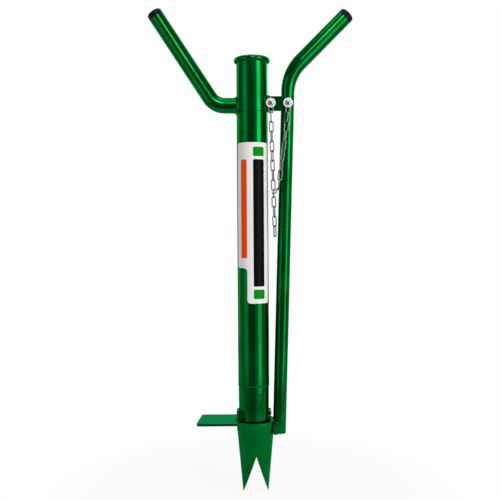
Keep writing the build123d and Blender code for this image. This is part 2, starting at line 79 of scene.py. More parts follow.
TUBE_R = node_size("tube_body").x / 2
SPOUT_R = TUBE_R - SPOUT_STEP
GRIP_R = node_size("left_handle").y / 2
BEAK_LIP_R = -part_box("front_jaw")[0].y
BEAK_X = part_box("front_jaw")[0].x + BEAK_LIP_R


class PlanterFinish(bpy.types.PropertyGroup):
    """Colours and surface grain."""

    paint: FloatVectorProperty(
        name="Paint", description="Colour of the painted steel", subtype="COLOR", size=3,
        default=(0.0005, 0.153, 0.027), min=0, max=1,
    )
    paint_deep: FloatVectorProperty(
        name="Deep paint", description="Colour where the paint lies thick", subtype="COLOR", size=3,
        default=(0.0003, 0.107, 0.012), min=0, max=1,
    )
    zinc: FloatVectorProperty(
        name="Zinc", description="Colour of the plated hardware", subtype="COLOR", size=3,
        default=(0.62, 0.63, 0.65), min=0, max=1,
    )
    cap: FloatVectorProperty(
        name="Grip cap", description="Colour of the plastic plugs", subtype="COLOR", size=3,
        default=(0.0045, 0.004, 0.0042), min=0, max=1,
    )
    peel: FloatProperty(
        name="Peel", description="Depth of the paint's dimpled skin", unit="LENGTH",
        default=0.008 * MM, min=0, max=1 * MM, precision=5,
    )


class PlanterLabel(bpy.types.PropertyGroup):
    """Plain banded label on the drop tube."""

    bottom: FloatProperty(
        name="Bottom", description="Height of its lower edge", unit="LENGTH", default=0.384,
    )
    top: FloatProperty(
        name="Top", description="Height of its upper edge", unit="LENGTH", default=0.708,
    )
    wrap: FloatProperty(
        name="Wrap", description="Angle of the tube that it covers", unit="ROTATION",
        default=math.radians(136),
    )
    step: FloatProperty(
        name="Step", description="Height of the step in its left edge", unit="LENGTH", default=0.455,
    )
    step_arc: FloatProperty(
        name="Step place", description="Place of the step, round the tube from its front", unit="LENGTH",
        default=-12 * MM,
    )
    corner: FloatProperty(
        name="Corner", description="Radius of its corners", unit="LENGTH", default=7 * MM,
    )
    film: FloatProperty(
        name="Film", description="How far the film stands off the tube", unit="LENGTH",
        default=0.2 * MM, precision=5,
    )
    ground: FloatVectorProperty(
        name="Ground", description="Colour of the film", subtype="COLOR", size=3,
        default=(0.97, 0.97, 0.96), min=0, max=1,
    )
    dark: FloatVectorProperty(
        name="Dark band", description="Colour of the long band", subtype="COLOR", size=3,
        default=(0.002, 0.002, 0.002), min=0, max=1,
    )
    green: FloatVectorProperty(
        name="Green bands", description="Colour of the short bands at its two ends", subtype="COLOR", size=3,
        default=(0.001, 0.28, 0.005), min=0, max=1,
    )
    orange: FloatVectorProperty(
        name="Orange band", description="Colour of the narrow band", subtype="COLOR", size=3,
        default=(1.0, 0.085, 0.002), min=0, max=1,
    )


class PlanterWeld(bpy.types.PropertyGroup):
    """Beads where the steel pieces are joined."""

    bead: FloatProperty(
        name="Bead", description="Radius of a small bead", unit="LENGTH",
        default=2.1 * MM, precision=4,
    )
    bracket_bead: FloatProperty(
        name="Bracket bead", description="Radius of the bracket's end beads", unit="LENGTH",
        default=3.2 * MM, precision=4,
    )
    grip_bead: FloatProperty(
        name="Grip bead", description="Reach of the left grip's fillet", unit="LENGTH",
        default=5.2 * MM, precision=4,
    )
    lip_bead: FloatProperty(
        name="Lip bead", description="Radius of the rolled edge on the front jaw", unit="LENGTH",
        default=2.6 * MM, precision=4,
    )
    lip_wave: FloatProperty(
        name="Lip wave", description="Height by which the rolled edge is uneven", unit="LENGTH",
        default=0.7 * MM, precision=4,
    )
    lip_pitch: FloatProperty(
        name="Lip pitch", description="Length of the rolled edge's uneven places", unit="LENGTH",
        default=9 * MM, precision=4,
    )
    strap: FloatVectorProperty(
        name="Strap bead", description="Foot of the bead that holds the strap on the lever",
        subtype="XYZ", unit="LENGTH", size=3, default=(0.0483, -0.0139, 0.122),
    )
    strap_rise: FloatProperty(
        name="Strap rise", description="Height of the strap's bead", unit="LENGTH", default=20 * MM,
    )
    pitch: FloatProperty(
        name="Pitch", description="Spacing of a bead's ripples", unit="LENGTH",
        default=2.0 * MM, precision=4,
    )
    ripple: FloatProperty(
        name="Ripple", description="Height of a bead's ripples, as a share of its radius", subtype="FACTOR",
        default=0.075, min=0, max=1, precision=3,
    )
    sides: IntProperty(name="Sides", description="Faces round a bead", default=10, min=4)


class PlanterStage(bpy.types.PropertyGroup):
    """Floor, lamps and camera."""

    floor: FloatVectorProperty(
        name="Floor", description="Colour of the floor", subtype="COLOR", size=3,
        default=(0.86, 0.86, 0.86), min=0, max=1,
    )
    floor_r: FloatProperty(
        name="Floor radius", description="Radius of the floor", unit="LENGTH", default=1.1,
    )
    floor_back: FloatProperty(
        name="Floor set-back", description="How far the floor's middle lies behind the planter",
        unit="LENGTH", default=0.6,
    )
    lens: FloatProperty(
        name="Lens", description="Focal length on a 36 mm sensor", unit="CAMERA", default=52.65, min=1,
    )
    eye: FloatVectorProperty(
        name="Camera", description="Place of the camera", subtype="XYZ", unit="LENGTH", size=3,
        default=(-0.0058, -1.4976, 0.5318),
    )
    roll: FloatProperty(
        name="Roll", description="Roll of the camera", unit="ROTATION", default=math.radians(0.37),
    )
    rise: FloatProperty(name="Rise", description="Vertical shift of the lens", default=-0.04)
    key: FloatProperty(
        name="Key", description="Power of the large soft box", unit="POWER", default=15.0,
    )
    high_key: FloatProperty(
        name="High key", description="Power of the box over the large one's upper half", unit="POWER",
        default=6.5,
    )
    fill: FloatProperty(
        name="Fill", description="Power of the soft box behind, on the left", unit="POWER", default=2.5,
    )
    rear: FloatProperty(
        name="Rear", description="Power of the soft box behind, on the right", unit="POWER", default=9.0,
    )
    top: FloatProperty(
        name="Top", description="Power of the soft box overhead", unit="POWER", default=9.0,
    )
    streak: FloatProperty(
        name="Streak", description="Power of the box that draws the lines on the grips", unit="POWER",
        default=8.0,
    )
    side: FloatProperty(
        name="Side", description="Power of the soft box on the left", unit="POWER", default=5.6,
    )
    sky: FloatProperty(name="Sky", description="Strength of the studio's own light", default=0.19, min=0)


class Planter(bpy.types.PropertyGroup):
    """All settings of the planter."""

    finish: PointerProperty(type=PlanterFinish)
    label: PointerProperty(type=PlanterLabel)
    weld: PointerProperty(type=PlanterWeld)
    stage: PointerProperty(type=PlanterStage)


class Term:
    """A shader value that takes part in Python arithmetic. Each operation adds a Math node."""

    def __init__(self, recipe, socket):
        self.recipe = recipe
        self.socket = socket

    def maths(self, operation, *others):
        """A Math node on this value and others, in that order."""
        return self.recipe.maths(operation, self, *others)

    def __add__(self, other):
        return self.maths("ADD", other)

    __radd__ = __add__

    def __mul__(self, other):
        return self.maths("MULTIPLY", other)

    __rmul__ = __mul__

    def __sub__(self, other):
        return self.maths("SUBTRACT", other)

    def __rsub__(self, other):
        return self.recipe.maths("SUBTRACT", other, self)

    def __abs__(self):
        return self.maths("ABSOLUTE")

    def at_least(self, other):
        """The larger of this value and another."""
        return self.maths("MAXIMUM", other)

    def between(self, low, high):
        """A smooth step from 0 at low to 1 at high."""
        return self.recipe.node(
            "ShaderNodeMapRange", {"interpolation_type": "SMOOTHSTEP"},
            {"Value": self, "From Min": low, "From Max": high}, "Result",
        )

    def spread(self, low, high):
        """This value of 0 to 1, spread from low to high."""
        return self * (high - low) + low


class Recipe:
    """A material or a world under construction."""

    def __init__(self, owner):
        owner.use_nodes = True
        self.owner = owner
        self.tree = owner.node_tree
        self.tree.nodes.clear()

    def node(self, kind, settings=None, sockets=None, output=0):
        """A node of a type: its settings first, then the values or links of its sockets."""
        made = self.tree.nodes.new(kind)
        for name, value in (settings or {}).items():
            setattr(made, name, value)
        for name, value in (sockets or {}).items():
            self.feed(made.inputs[name], value)
        return Term(self, made.outputs[output]) if made.outputs else None

    def feed(self, socket, value):
        """Links a term to a socket, or sets the socket's own value."""
        if isinstance(value, Term):
            self.tree.links.new(value.socket, socket)
        elif socket.type == "RGBA" and len(value) == 3:
            socket.default_value = (*value, 1)
        else:
            socket.default_value = value

    def maths(self, operation, *values):
        """A Math node on terms and numbers."""
        return self.node("ShaderNodeMath", {"operation": operation}, dict(enumerate(values)), "Value")

    def place(self):
        """Place on the piece, in metres in the planter's frame."""
        return self.node("ShaderNodeTexCoord", output="Object")

    def axes(self, place):
        """X, Y and Z of a place as three terms."""
        split = self.node("ShaderNodeSeparateXYZ", None, {"Vector": place})
        return [Term(self, socket) for socket in split.socket.node.outputs]

    def noise(self, place, size, detail=2.0):
        """Soft noise from 0 to 1 whose features have a size in metres."""
        return self.node(
            "ShaderNodeTexNoise", {"noise_dimensions": "3D"},
            {"Vector": place, "Scale": 1 / size, "Detail": detail}, "Fac",
        )

    def mix(self, factor, first, second):
        """Colour between two colours. The Mix node's colours are its sockets 6 and 7, and its output 2."""
        return self.node("ShaderNodeMix", {"data_type": "RGBA"}, {0: factor, 6: first, 7: second}, 2)

    def bump(self, height, depth):
        """Surface normal from a height of 0 to 1 that stands for a depth in metres."""
        sockets = {"Height": height, "Distance": depth, "Strength": 1.0}
        return self.node("ShaderNodeBump", None, sockets, "Normal")

    def white(self, kind, strength=1.0):
        """White light from a shader of a type."""
        return self.node(kind, None, {"Color": (1, 1, 1), "Strength": strength})

    def seen(self, pale):
        """1 for rays from the camera, and a term for rays from gloss and through glass."""
        rays = self.node("ShaderNodeLightPath").socket.node.outputs
        kinds = ("Camera", "Glossy", "Transmission")
        camera, gloss, glass = [Term(self, rays[f"Is {kind} Ray"]) for kind in kinds]
        return (camera + (gloss + glass) * pale).maths("MINIMUM", 1.0)

    def blend(self, share, first, second):
        """Shader between two shaders."""
        return self.node("ShaderNodeMixShader", None, {0: share, 1: first, 2: second})

    def surface(self, **sockets):
        """Ends the material in a Principled shader with these sockets, and returns the material."""
        named = {name.replace("_", " "): value for name, value in sockets.items()}
        return self.end(self.node("ShaderNodeBsdfPrincipled", None, named, "BSDF"))

    def end(self, shader, kind="ShaderNodeOutputMaterial"):
        """Links a shader to the output, and returns the finished material or world."""
        self.node(kind, None, {"Surface": shader})
        return self.owner


def enamel_green(finish):
    """Deep gloss green whose reflections stay green, with a slow drift in tone and a faintly dimpled skin."""
    recipe = Recipe(bpy.data.materials.new("enamel_green"))
    place = recipe.place()
    drift = recipe.noise(place, size=42 * MM, detail=3.0).between(low=0.3, high=0.7)
    skin = recipe.noise(place, size=10 * MM, detail=1.0)
    haze = recipe.noise(place, size=16 * MM, detail=4.0)
    return recipe.surface(
        Base_Color=recipe.mix(drift, finish.paint_deep, finish.paint),
        Metallic=0.98,
        Roughness=haze.spread(low=0.12, high=0.2),
        Normal=recipe.bump(skin, finish.peel),
        Specular_IOR_Level=0.5,
        Specular_Tint=(0.0, 0.75, 0.5),
    )


SPANGLE_SIZE = 1.3 * MM
SPANGLE_SHARE = 0.5
SPANGLE_SHADE = 0.85
MARK_SIZE = 3 * MM
MARK_ROUGHNESS = 0.22


def zinc_plate(finish, name="zinc_plate", shade=1.0, metal=1.0, rough=0.16, wear=0.05 * MM):
    """Zinc plate with a faint spangle and handling marks of a depth; shade scales its colour."""
    recipe = Recipe(bpy.data.materials.new(name))
    place = recipe.place()
    cells = {"Vector": place, "Scale": 1 / SPANGLE_SIZE}
    spangle = recipe.node("ShaderNodeTexVoronoi", {"feature": "F1"}, cells, "Color")
    tone = recipe.node("ShaderNodeRGBToBW", None, {"Color": spangle})
    marks = recipe.noise(place, MARK_SIZE, detail=4.0)
    colour = [min(1.0, channel * shade) for channel in finish.zinc]
    return recipe.surface(
        Base_Color=recipe.mix(tone * SPANGLE_SHARE, colour, [channel * SPANGLE_SHADE for channel in colour]),
        Metallic=metal,
        Roughness=marks.spread(rough, rough + MARK_ROUGHNESS),
        Normal=recipe.bump(marks, wear),
    )


def chain_wire(finish):
    """Grey zinc of the chain's wire, darker than the bolts."""
    return zinc_plate(finish, "chain_wire", shade=0.42, rough=0.1)


def washer_zinc(finish):
    """Pale matt zinc of the large washers."""
    return zinc_plate(finish, "washer_zinc", shade=1.55, metal=0.25, rough=0.4, wear=0.01 * MM)


def bolt_zinc(finish):
    """Bright zinc of the domed bolts."""
    return zinc_plate(finish, "bolt_zinc", shade=0.85, rough=0.04, wear=0.004 * MM)


SCUFF_LIGHT = 0.006


def cap_plastic(finish):
    """Black moulded plastic with a fine grain and paler scuffs."""
    recipe = Recipe(bpy.data.materials.new("cap_plastic"))
    place = recipe.place()
    grain = recipe.noise(place, size=0.7 * MM, detail=2.0)
    scuff = recipe.noise(place, size=9 * MM, detail=5.0).between(low=0.5, high=0.75)
    return recipe.surface(
        Base_Color=recipe.mix(scuff, finish.cap, [channel + SCUFF_LIGHT for channel in finish.cap]),
        Roughness=scuff.spread(low=0.34, high=0.5),
        Normal=recipe.bump(grain, depth=0.05 * MM),
        Specular_IOR_Level=0.1,
    )


FINISH_OF_SLOT = {"green_paint": enamel_green, "zinc_steel": zinc_plate, "black_cap": cap_plastic}
FINISH_OF_NODE = {
    "bracket_chain": chain_wire,
    "lever_chain": chain_wire,
    "chain_hook": chain_wire,
    "bracket_shackle": chain_wire,
    "lever_shackle": chain_wire,
    "bracket_bolt": bolt_zinc,
    "lever_bolt": bolt_zinc,
    "bracket_washer": washer_zinc,
    "lever_washer": washer_zinc,
}


def material_of(finish):
    """The material that a finish makes, made on first use."""
    return bpy.data.materials.get(finish.__name__) or finish(bpy.context.scene.planter.finish)


def new_object(name, mesh):
    """Links a new object with a bmesh's shape, and frees the bmesh."""
    data = bpy.data.meshes.new(name)
    mesh.to_mesh(data)
    mesh.free()
    made = bpy.data.objects.new(name, data)
    bpy.context.scene.collection.objects.link(made)
    return made


def new_piece(name, mesh, body, slot, material=None):
    """Turns a bmesh into a smooth piece that rides on a body and takes a slot's finish."""
    bmesh.ops.remove_doubles(mesh, verts=mesh.verts, dist=MERGE_WITHIN)
    bmesh.ops.recalc_face_normals(mesh, faces=mesh.faces)
    for face in mesh.faces:
        face.smooth = True
    piece = new_object(name, mesh)
    piece.data.set_sharp_from_angle(angle=CREASE)
    piece.data.materials.append(material or material_of(FINISH_OF_SLOT[slot]))
    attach(piece, body)
    return piece


def cut_across(mesh, place, way, **clear):
    """Cuts a whole mesh by a plane at a place that faces a way."""
    geometry = mesh.verts[:] + mesh.edges[:] + mesh.faces[:]
    bmesh.ops.bisect_plane(mesh, geom=geometry, plane_co=place, plane_no=way, **clear)


def close_ends(mesh):
    """Fills the open ends of a mesh."""
    bmesh.ops.holes_fill(mesh, edges=[edge for edge in mesh.edges if edge.is_boundary])


def spin_round(mesh, geometry, centre, axis, steps, sweep=FULL_TURN):
    """Spins an outline about an axis. A full turn meets itself, and less than one gets closed ends."""
    whole = sweep >= FULL_TURN
    bmesh.ops.spin(
        mesh, geom=geometry, cent=centre, axis=axis, angle=sweep, steps=steps,
        use_merge=whole, use_duplicate=False,
    )
    if not whole:
        close_ends(mesh)


class PLANTER_OT_finish_nodes(bpy.types.Operator):
    """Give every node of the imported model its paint, plating or plastic"""

    bl_idname = "planter.finish_nodes"
    bl_label = "Finish Nodes"

    def execute(self, context):
        for name, node in frame["nodes"].items():
            finish = FINISH_OF_NODE.get(name, FINISH_OF_SLOT[SLOT_OF[name]])
            node.data.materials.clear()
            node.data.materials.append(material_of(finish))
        return {"FINISHED"}


# The label's bands, in millimetres. The first two are runs round the tube from its front.
WIDE_BANDS = (1, 25)
NARROW_BAND = (-26, -12)
BAND_CORNER = 3
BAND_EDGE = 0.25
LONG_BAND_GAP = 34
END_BAND_GAP = 9
END_BAND_REACH = 28
STEP_GAP = 20


def label_film(label):
    """White film with a long dark band between two green ones, and a narrow orange band beside them."""
    recipe = Recipe(bpy.data.materials.new("label_film"))
    place = recipe.place()
    x, y, z = recipe.axes(place)
    arc = recipe.maths("ARCTAN2", x, 0.0 - y) * (TUBE_R / MM)
    height = z * (1 / MM)

    def band(run, low, high):
        """1 inside a band and 0 outside it."""
        half_w, half_h = (run[1] - run[0]) / 2, (high - low) / 2
        across = (abs(arc - (run[0] + half_w)) - (half_w - BAND_CORNER)).at_least(0.0)
        along = (abs(height - (low + half_h)) - (half_h - BAND_CORNER)).at_least(0.0)
        outside = (across * across + along * along).maths("SQRT")
        return 1 - outside.between(BAND_CORNER - BAND_EDGE, BAND_CORNER + BAND_EDGE)

    low, step, high = label.bottom / MM, label.step / MM, label.top / MM
    colour = label.ground
    for run, band_low, band_high, ink in (
        (WIDE_BANDS, low + LONG_BAND_GAP, high - LONG_BAND_GAP, label.dark),
        (WIDE_BANDS, low + END_BAND_GAP, low + END_BAND_REACH, label.green),
        (WIDE_BANDS, high - END_BAND_REACH, high - END_BAND_GAP, label.green),
        (NARROW_BAND, step + STEP_GAP, high - LONG_BAND_GAP, label.orange),
    ):
        colour = recipe.mix(band(run, band_low, band_high), colour, ink)
    weave = recipe.noise(place, size=2.5 * MM, detail=3.0)
    return recipe.surface(
        Base_Color=colour,
        Roughness=weave.spread(low=0.26, high=0.36),
        Normal=recipe.bump(weave, depth=0.03 * MM),
        Specular_IOR_Level=0.05,
    )


class PLANTER_OT_add_label(bpy.types.Operator):
    """Wrap a plain banded label round the front of the drop tube"""

    bl_idname = "planter.add_label"
    bl_label = "Add Label"

    columns = 36
    corner_segments = 8
    straight_cosine = -0.999
    film_share = 0.8

    def is_straight(self, vert):
        """Whether the flat outline runs straight on at a vertex."""
        first, second = [(edge.other_vert(vert).co - vert.co).normalized() for edge in vert.link_edges]
        return first.dot(second) < self.straight_cosine

    def execute(self, context):
        label = context.scene.planter.label
        half_width = label.wrap / 2 * TUBE_R
        half_height = (label.top - label.bottom) / 2
        middle = (label.top + label.bottom) / 2
        mesh = bmesh.new()
        bmesh.ops.create_grid(mesh, x_segments=2, y_segments=2, size=1)
        bmesh.ops.scale(mesh, vec=(half_width, half_height, 1), verts=mesh.verts)
        middle_column = [vert for vert in mesh.verts if abs(vert.co.x) < MM]
        middle_row = [vert for vert in mesh.verts if abs(vert.co.y) < MM]
        bmesh.ops.translate(mesh, vec=(label.step_arc, 0, 0), verts=middle_column)
        bmesh.ops.translate(mesh, vec=(0, label.step - middle, 0), verts=middle_row)
        corner = min(mesh.faces, key=lambda face: sum(face.calc_center_median()))
        bmesh.ops.delete(mesh, geom=[corner], context="FACES")
        bmesh.ops.dissolve_faces(mesh, faces=mesh.faces[:])
        bmesh.ops.dissolve_verts(mesh, verts=[vert for vert in mesh.verts if self.is_straight(vert)])
        bmesh.ops.bevel(
            mesh, geom=mesh.verts[:], offset=label.corner, segments=self.corner_segments, profile=0.5,
            affect="VERTICES", material=-1,
        )
        for column in range(1, self.columns):
            cut = (2 * column / self.columns - 1) * half_width
            cut_across(mesh, (cut, 0, 0), (1, 0, 0))
        radius = TUBE_R + label.film
        for vert in mesh.verts:
            turn = vert.co.x / TUBE_R
            vert.co = Vector((radius * math.sin(turn), -radius * math.cos(turn), middle + vert.co.y))
        bmesh.ops.recalc_face_normals(mesh, faces=mesh.faces)
        bmesh.ops.solidify(mesh, geom=mesh.faces[:], thickness=label.film * self.film_share)
        new_piece("label_film", mesh, "planter_frame", "green_paint", label_film(label))
        return {"FINISHED"}


SECTIONS_A_RIPPLE = 5
LUMP_SIZE = 3.5 * MM
LUMP_SHARE = 1.3


def bead_section(mesh, weld, bead, place, along):
    """Ring of vertices across a bead of a radius, facing along it. Returns its geometry."""
    turn = Vector((0, 0, 1)).rotation_difference(along).to_matrix().to_4x4()
    ring = bmesh.ops.create_circle(
        mesh, segments=weld.sides, radius=bead, cap_ends=False, matrix=Matrix.Translation(place) @ turn,
    )
    return ring["verts"] + list({edge for vert in ring["verts"] for edge in vert.link_edges})


def section_count(weld, length, least):
    """Number of sections that a bead's ripples need over a length, and no fewer than least."""
    return max(least, round(length / (weld.pitch / SECTIONS_A_RIPPLE)))


def ruffle(mesh, weld, height, travel, core):
    """Swells a bead into ripples. travel gives a vertex's way along the bead and core the bead's middle."""
    for vert in mesh.verts:
        middle = core(vert.co)
        wave = math.sin(FULL_TURN * travel(vert.co) / weld.pitch)
        lump = noise.noise(vert.co / LUMP_SIZE)
        vert.co += (vert.co - middle).normalized() * (wave + LUMP_SHARE * lump) * height


def out_from(centre, axis, point):
    """Way from an axis straight out to a point."""
    way = point - centre
    return way - axis * way.dot(axis)


def ring_bead(name, body, weld, bead, centre, axis, radius, run=None, lift=None, smooth=False):
    """Weld bead round an axis.

    run gives its starting side and its sweep where it goes only part of the way round. lift moves each
    vertex of the plain ring on to what the bead follows.
    """
    centre = Vector(centre)
    axis = Vector(axis).normalized()
    start, sweep = run or (axis.orthogonal(), FULL_TURN)
    side = Vector(start).normalized()
    mesh = bmesh.new()
    section = bead_section(mesh, weld, bead, centre + side * radius, axis.cross(side))
    spin_round(mesh, section, centre, axis, section_count(weld, radius * sweep, least=12), sweep)

    def core(point):
        """Middle of the bead near a point."""
        return centre + out_from(centre, axis, point).normalized() * radius

    def travel(point):
        """Way along the bead to a point."""
        out = point - centre
        return math.atan2(out.dot(axis.cross(side)), out.dot(side)) * radius

    if not smooth:
        ruffle(mesh, weld, weld.ripple * bead, travel, core)
    if lift:
        for vert in mesh.verts:
            vert.co += lift(vert.co)
    return new_piece(name, mesh, body, "green_paint")


FILLET_SUNK = 0.3
FILLET_SWELL = 0.05
FILLET_DRIFT = 0.02
FILLET_LUMP = 9 * MM
FILLET_CUTS = 7
FILLET_STEPS = 96


def fillet_ring(name, body, reach, centre, axis, radius, lift):
    """Concave weld fillet round a tube's root; lift moves each vertex on to the surface that it stands on."""
    centre = Vector(centre)
    axis = Vector(axis).normalized()
    side = axis.orthogonal().normalized()
    mesh = bmesh.new()

    def spot(out, up):
        """Place at a distance out from the axis and up along it."""
        return centre + side * out + axis * up

    sunk = FILLET_SUNK * reach
    root = mesh.verts.new(spot(radius - sunk, -sunk))
    foot = mesh.verts.new(spot(radius + reach, 0))
    top = mesh.verts.new(spot(radius, reach))
    hollow = mesh.edges.new((foot, top))
    mesh.edges.new((top, root))
    mesh.edges.new((root, foot))
    cuts = bmesh.ops.subdivide_edges(mesh, edges=[hollow], cuts=FILLET_CUTS)["geom_inner"]
    bow = spot(radius + reach, reach)
    for vert in (item for item in cuts if isinstance(item, bmesh.types.BMVert)):
        vert.co = bow + (vert.co - bow).normalized() * reach
    spin_round(mesh, mesh.verts[:] + mesh.edges[:], centre, axis, FILLET_STEPS)
    for vert in mesh.verts:
        out = out_from(centre, axis, vert.co)
        swell = reach * (FILLET_SWELL + FILLET_DRIFT * noise.noise(vert.co / FILLET_LUMP))
        vert.co += (out.normalized() + axis) * swell
        vert.co += lift(vert.co)
    return new_piece(name, mesh, body, "green_paint")


END_START = 0.15
END_LEAST = 0.05


def line_bead(name, body, weld, bead, start, end):
    """Straight weld bead with rounded ends."""
    start, end = Vector(start), Vector(end)
    way = end - start
    mesh = bmesh.new()
    section = bead_section(mesh, weld, bead, start, way.normalized())
    steps = section_count(weld, way.length, least=6)
    bmesh.ops.spin(
        mesh, geom=section, cent=start, axis=way, dvec=way / steps, angle=0.0, steps=steps,
        use_duplicate=False,
    )
    close_ends(mesh)

    def travel(point):
        """Way along the bead to a point."""
        return (point - start).dot(way.normalized())

    def core(point):
        """Middle of the bead beside a point."""
        return start + way.normalized() * travel(point)

    ruffle(mesh, weld, weld.ripple * bead, travel, core)
    for vert in mesh.verts:
        from_end = min(travel(vert.co), way.length - travel(vert.co)) / (2 * bead)
        taper = math.sqrt(max(END_LEAST, min(1.0, from_end + END_START)))
        vert.co = core(vert.co).lerp(vert.co, taper)
    return new_piece(name, mesh, body, "green_paint")


class PLANTER_OT_add_welds(bpy.types.Operator):
    """Lay the weld beads where the steel pieces meet"""

    bl_idname = "planter.add_welds"
    bl_label = "Add Welds"

    # Shares of a bead's radius.
    bracket_reach = 1.5
    seam_bead = 0.9
    seam_drop = 0.9
    seam_sunk = 0.35
    fine_bead = 0.7
    jaw_sunk = 0.3
    pin_bead = 0.5

    # Starting side and sweep of the beads that go part of the way round.
    spout_run = ((1, 0.25, 0), math.radians(150))
    lip_run = ((-1, -0.15, 0), math.radians(163))
    jaw_run = ((1, 0.5, 0), math.radians(140))

    @staticmethod
    def on_side(radius, way):
        """Lift of a bead on to the side of an upright tube that faces a way along X."""
        return lambda point: Vector((way * math.sqrt(max(0.0, radius**2 - point.y**2)), 0, 0))

    def join_grip(self, weld):
        """Fillet where the left grip meets the drop tube."""
        stub_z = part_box("left_handle")[0].z + GRIP_R
        fillet_ring(
            "left_grip_weld", "planter_frame", weld.grip_bead, (0, 0, stub_z), (-1, 0, 0), GRIP_R,
            lift=self.on_side(TUBE_R, -1),
        )

    def join_bracket(self, weld):
        """Beads down both faces of the bracket and across its two ends."""
        low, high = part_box("bracket")
        for name, depth in (("front", low.y), ("back", high.y)):
            edge_x = math.sqrt(TUBE_R**2 - depth**2)
            line_bead(
                f"bracket_weld_{name}", "planter_frame", weld, weld.bead,
                (edge_x, depth, low.z), (edge_x, depth, high.z),
            )
        plate_y = (low.y + high.y) / 2
        inner_x = math.sqrt(TUBE_R**2 - plate_y**2) - weld.bracket_bead
        outer_x = TUBE_R + self.bracket_reach * weld.bracket_bead
        for name, height in (("bottom", low.z), ("top", high.z)):
            line_bead(
                f"bracket_weld_{name}", "planter_frame", weld, weld.bracket_bead,
                (inner_x, plate_y, height), (outer_x, plate_y, height),
            )

    def join_foot(self, weld):
        """Beads round the spout on the foot plate, round the spout's seam and along the plate's end."""
        low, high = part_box("foot_plate")
        ring_bead(
            "spout_weld", "planter_frame", weld, weld.bead, (0, 0, high.z), (0, 0, 1), SPOUT_R,
            run=self.spout_run,
        )
        seam_bead = self.seam_bead * weld.bead
        seam_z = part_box("tube_spout")[1].z - self.seam_drop * seam_bead
        ring_bead(
            "spout_seam", "planter_frame", weld, seam_bead, (0, 0, seam_z), (0, 0, 1),
            SPOUT_R - self.seam_sunk * seam_bead,
        )
        for name, height in (("top", high.z), ("bottom", low.z)):
            line_bead(
                f"foot_plate_weld_{name}", "planter_frame", weld, self.fine_bead * weld.bead,
                (high.x, weld.bead, height), (high.x, high.y - weld.bead, height),
            )

    def join_beak(self, weld):
        """Rolled edge of the front jaw, and the bead of the rear jaw under the foot plate."""
        low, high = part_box("foot_plate")

        def uneven(point):
            """Rise and fall of the rolled edge."""
            return Vector((0, 0, weld.lip_wave * noise.noise(point / weld.lip_pitch) - weld.lip_wave))

        ring_bead(
            "lip_bead", "lever_arm", weld, weld.lip_bead, (BEAK_X, 0, high.z - weld.lip_bead), (0, 0, 1),
            BEAK_LIP_R - weld.lip_bead, run=self.lip_run, lift=uneven, smooth=True,
        )
        ring_bead(
            "rear_jaw_weld", "planter_frame", weld, self.fine_bead * weld.bead, (BEAK_X, 0, low.z), (0, 0, 1),
            BEAK_LIP_R - self.jaw_sunk * weld.bead, run=self.jaw_run,
        )

    def join_lever(self, weld):
        """Bead of the strap on the lever, and a ring round each hinge pin."""
        strap = Vector(weld.strap)
        line_bead("strap_weld", "lever_arm", weld, weld.bead, strap, strap + Vector((0, 0, weld.strap_rise)))
        for side, way in (("left", -1), ("right", 1)):
            low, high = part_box(f"hinge_pin_{side}")
            ring_bead(
                f"hinge_weld_{side}", "planter_frame", weld, self.pin_bead * weld.bead,
                (0, 0, (low.z + high.z) / 2), (way, 0, 0), (high.z - low.z) / 2,
                lift=self.on_side(SPOUT_R, way),
            )

    def execute(self, context):
        weld = context.scene.planter.weld
        self.join_grip(weld)
        self.join_bracket(weld)
        self.join_foot(weld)
        self.join_beak(weld)
        self.join_lever(weld)
        return {"FINISHED"}


